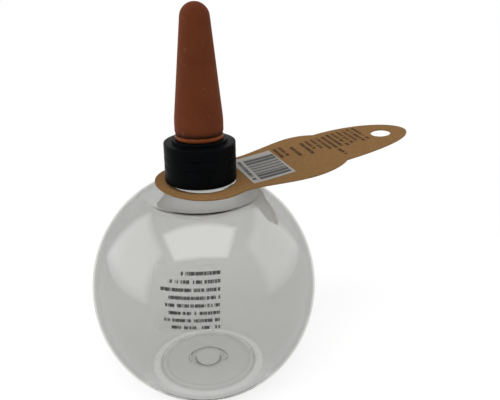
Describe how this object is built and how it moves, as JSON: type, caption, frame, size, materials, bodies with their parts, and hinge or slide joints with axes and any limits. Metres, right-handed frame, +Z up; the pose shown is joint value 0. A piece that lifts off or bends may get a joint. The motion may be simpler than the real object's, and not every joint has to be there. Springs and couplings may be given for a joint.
{
  "type": "watering globe",
  "caption": "Clear watering globe with a screw cap, a porous clay cone and a card hang tag; pushed into soil by its cone, it waters a plant.",
  "frame": {"origin": "centre of the globe's foot, on the surface that it stands on", "axes": "+Z up along the axis of globe, cap and cone; +X towards the tag's side in the picture; +Y away from the viewer"},
  "size_m": [0.1473, 0.1, 0.167],
  "materials": {
    "clear_polyester": "clear blown polyester, glossy",
    "label_film": "clear film with plain dark bars in place of print",
    "black_polypropylene": "black moulded polypropylene, satin",
    "terracotta": "unglazed fired clay, matt and porous",
    "seal_silicone": "orange-brown moulded silicone",
    "gasket_rubber": "pale cut rubber sheet",
    "kraft_card": "uncoated brown kraft card",
    "sticker_paper": "white label paper with plain dark bars"
  },
  "bodies": {
    "bottle": {"globe_bottle": "clear_polyester", "clear_label": "label_film"},
    "liner": {"lip_gasket": "gasket_rubber"},
    "cap": {"screw_cap": "black_polypropylene", "clay_cone": "terracotta", "cone_seal_ring": "seal_silicone"},
    "tag": {"hang_tag": "kraft_card", "tag_sticker": "sticker_paper"}
  },
  "joints": [
    {"name": "cap_lift", "type": "slide", "parent": "bottle", "child": "liner", "axis": [0, 0, 1], "range_m": [0, 0.0048]},
    {"name": "cap_turn", "type": "hinge", "parent": "liner", "child": "cap", "pos_m": [0, 0, 0.1071], "axis": [0, 0, 1], "range_deg": [0, 540]},
    {"name": "tag_swivel", "type": "hinge", "parent": "bottle", "child": "tag", "pos_m": [0, 0, 0.0925], "axis": [0, 0, 1], "continuous": true}
  ],
  "couplings": [
    {"joint": "cap_turn", "follows": "cap_lift", "rad_per_m": 1963.5}
  ]
}
